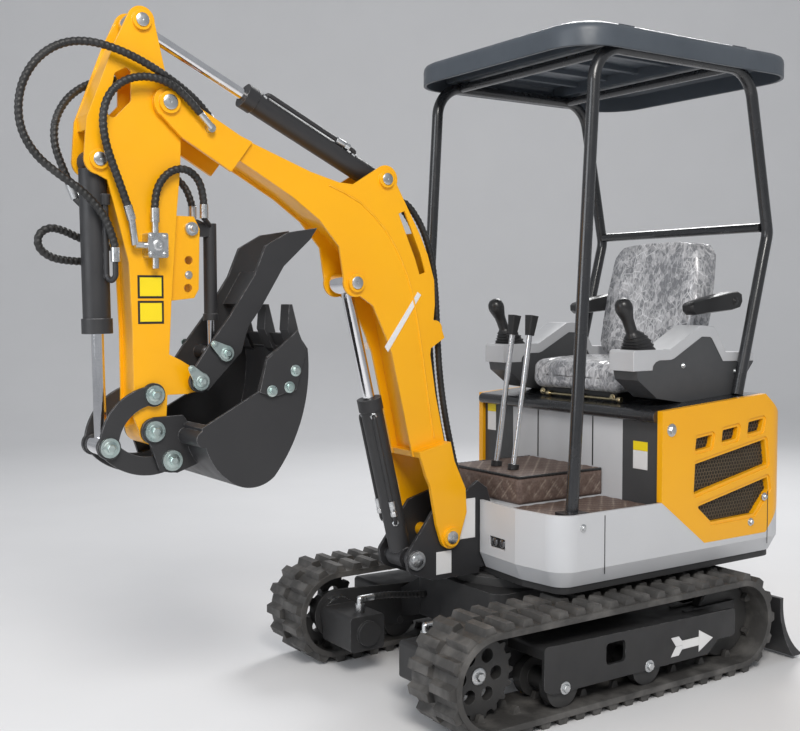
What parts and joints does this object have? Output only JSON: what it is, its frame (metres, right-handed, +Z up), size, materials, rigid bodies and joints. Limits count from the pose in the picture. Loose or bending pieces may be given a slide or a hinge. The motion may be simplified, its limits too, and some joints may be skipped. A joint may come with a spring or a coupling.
{
  "type": "mini excavator",
  "caption": "Tracked mini excavator with slewing canopy house, boom, arm, curling bucket with thumb, and a dozer blade; joints move every stage of the digging gear.",
  "frame": {"origin": "ground under the middle of the machine box", "axes": "+X from the seat towards the boom, +Y to the operator's left, +Z up"},
  "size_m": [2.7404, 1.15, 2.29],
  "materials": {
    "black_paint": "satin",
    "cast_steel": "matte",
    "charcoal_panel": "satin",
    "chrome_rod": "polished",
    "console_grey": "matte",
    "engine_block": "matte",
    "frame_black": "satin",
    "hose_rubber": "matte",
    "knob_black": "satin",
    "mat_brown": "matte",
    "mesh_black": "matte",
    "pale_panel": "satin",
    "roof_plastic": "satin",
    "seat_cover": "satin",
    "track_rubber": "matte",
    "tube_black": "gloss",
    "yellow_paint": "gloss",
    "zinc": "satin"
  },
  "bodies": {
    "undercarriage": {"lower_frame": "frame_black", "track_frame_left": "frame_black", "track_frame_right": "frame_black", "track_left": "track_rubber", "track_right": "track_rubber", "sprockets": "cast_steel", "idlers": "cast_steel", "track_rollers": "cast_steel", "travel_motors": "frame_black", "slew_ring": "cast_steel", "motor_hoses": "hose_rubber"},
    "blade": {"blade": "black_paint"},
    "blade_barrel": {"blade_barrel": "black_paint"},
    "blade_rod": {"blade_rod": "chrome_rod"},
    "house": {"house_frame": "frame_black", "boom_bracket": "black_paint", "skirt": "pale_panel", "engine_cover_left": "yellow_paint", "engine_cover_right": "yellow_paint", "vent_mesh": "mesh_black", "counterweight": "cast_steel", "top_deck": "tube_black", "seat_box_panel": "pale_panel", "seat_box_corners": "charcoal_panel", "engine": "engine_block", "floor_deck": "pale_panel", "platform_mat": "mat_brown", "footwell_mats": "mat_brown", "canopy_hoop_left": "tube_black", "canopy_hoop_right": "tube_black", "canopy_crossbars": "tube_black", "canopy_roof": "roof_plastic", "seat_frame": "knob_black", "seat_cushion": "seat_cover", "seat_back": "seat_cover", "armrests": "knob_black", "consoles": "console_grey", "joysticks": "knob_black", "travel_levers": "zinc"},
    "boom": {"boom": "yellow_paint", "arm_hose_outer": "hose_rubber", "arm_hose_inner": "hose_rubber", "arm_hose_far": "hose_rubber", "boom_hoses": "hose_rubber"},
    "lift_barrel": {"lift_barrel": "black_paint"},
    "lift_rod": {"lift_rod": "chrome_rod"},
    "dipper": {"dipper": "yellow_paint", "valve_block": "zinc", "bucket_hose": "hose_rubber", "thumb_hoses": "hose_rubber"},
    "arm_barrel": {"arm_barrel": "black_paint"},
    "arm_rod": {"arm_rod": "chrome_rod"},
    "bucket_barrel": {"bucket_barrel": "black_paint"},
    "bucket_rod": {"bucket_rod": "chrome_rod"},
    "guide_link": {"guide_link": "black_paint"},
    "bucket_link": {"bucket_link": "black_paint"},
    "bucket": {"bucket": "black_paint"},
    "thumb": {"thumb": "black_paint"},
    "thumb_barrel": {"thumb_barrel": "black_paint"},
    "thumb_rod": {"thumb_rod": "chrome_rod"}
  },
  "joints": [
    {"name": "slew", "type": "hinge", "parent": "undercarriage", "child": "house", "pos_m": [-0.33803, 0, 0.372], "axis": [0, 0, 1], "continuous": true},
    {"name": "blade_lift", "type": "hinge", "parent": "undercarriage", "child": "blade", "pos_m": [-0.66804, 0, 0.215], "axis": [0, 1, 0], "range_deg": [-15, 15]},
    {"name": "blade_barrel_swing", "type": "hinge", "parent": "undercarriage", "child": "blade_barrel", "pos_m": [-0.65604, 0, 0.29], "axis": [0, -1, 0], "range_deg": [-13.97, 13.97]},
    {"name": "blade_rod_slide", "type": "slide", "parent": "blade_barrel", "child": "blade_rod", "axis": [-0.9637, 0, -0.2672], "range_m": [-0.01857, 0.01857]},
    {"name": "boom_lift", "type": "hinge", "parent": "house", "child": "boom", "pos_m": [0.04396, 0, 0.522], "axis": [0, -1, 0], "range_deg": [-65, 25], "deforming": ["boom_hoses"]},
    {"name": "lift_barrel_swing", "type": "hinge", "parent": "house", "child": "lift_barrel", "pos_m": [0.17497, 0, 0.455], "axis": [0, -1, 0], "range_deg": [-66.58, 25.67]},
    {"name": "lift_rod_slide", "type": "slide", "parent": "lift_barrel", "child": "lift_rod", "axis": [0.2306, 0, 0.973], "range_m": [-0.15283, 0.05915]},
    {"name": "arm_swing", "type": "hinge", "parent": "boom", "child": "dipper", "pos_m": [1.02496, 0, 1.888], "axis": [0, -1, 0], "range_deg": [-12, 70], "deforming": ["arm_hose_outer", "arm_hose_inner", "arm_hose_far"]},
    {"name": "arm_barrel_swing", "type": "hinge", "parent": "boom", "child": "arm_barrel", "pos_m": [0.27697, 0, 1.715], "axis": [0, -1, 0], "range_deg": [-1.19, 6.44]},
    {"name": "arm_rod_slide", "type": "slide", "parent": "arm_barrel", "child": "arm_rod", "axis": [0.8996, 0, 0.4367], "range_m": [-0.26122, 0.04528]},
    {"name": "bucket_curl", "type": "hinge", "parent": "dipper", "child": "bucket", "pos_m": [1.08096, 0, 0.948], "axis": [0, -1, 0], "range_deg": [0, 150]},
    {"name": "guide_link_swing", "type": "hinge", "parent": "dipper", "child": "guide_link", "pos_m": [1.07997, 0, 1.053], "axis": [0, -1, 0], "range_deg": [-0.1, 83.42]},
    {"name": "bucket_link_swing", "type": "hinge", "parent": "guide_link", "child": "bucket_link", "pos_m": [1.21497, 0, 0.91], "axis": [0, -1, 0], "range_deg": [-20.22, 0.1]},
    {"name": "bucket_barrel_swing", "type": "hinge", "parent": "dipper", "child": "bucket_barrel", "pos_m": [1.22596, 0, 1.716], "axis": [0, -1, 0], "range_deg": [-0.1, 6.07], "deforming": ["bucket_hose"]},
    {"name": "bucket_rod_slide", "type": "slide", "parent": "bucket_barrel", "child": "bucket_rod", "axis": [-0.0136, 0, -0.9999], "range_m": [-0.25767, 0.0006]},
    {"name": "thumb_swing", "type": "hinge", "parent": "dipper", "child": "thumb", "pos_m": [0.94896, 0, 1.088], "axis": [0, -1, 0], "range_deg": [-0.1, 75.1]},
    {"name": "thumb_barrel_swing", "type": "hinge", "parent": "dipper", "child": "thumb_barrel", "pos_m": [0.94297, 0, 1.534], "axis": [0, -1, 0], "range_deg": [-4.57, 0.1], "deforming": ["thumb_hoses"]},
    {"name": "thumb_rod_slide", "type": "slide", "parent": "thumb_barrel", "child": "thumb_rod", "axis": [0, 0, -1], "range_m": [-0.0006, 0.14113]}
  ],
  "couplings": [
    {"joint": "blade_barrel_swing", "follows": "blade_lift", "ratio": -0.92487},
    {"joint": "blade_rod_slide", "follows": "blade_lift", "m_per_rad": -0.068638},
    {"joint": "lift_barrel_swing", "follows": "boom_lift", "ratio": 1.0227},
    {"joint": "lift_rod_slide", "follows": "boom_lift", "m_per_rad": 0.13419},
    {"joint": "arm_barrel_swing", "follows": "arm_swing", "ratio": 0.09053},
    {"joint": "arm_rod_slide", "follows": "arm_swing", "m_per_rad": -0.21332},
    {"joint": "guide_link_swing", "follows": "bucket_curl", "ratio": 0.55546},
    {"joint": "bucket_link_swing", "follows": "bucket_curl", "ratio": -0.13411},
    {"joint": "bucket_barrel_swing", "follows": "bucket_curl", "ratio": 0.03979},
    {"joint": "bucket_rod_slide", "follows": "bucket_curl", "m_per_rad": -0.098195},
    {"joint": "thumb_swing", "follows": "bucket_curl", "ratio": 0.5},
    {"joint": "thumb_barrel_swing", "follows": "bucket_curl", "ratio": -0.02982},
    {"joint": "thumb_rod_slide", "follows": "bucket_curl", "m_per_rad": 0.053679}
  ]
}
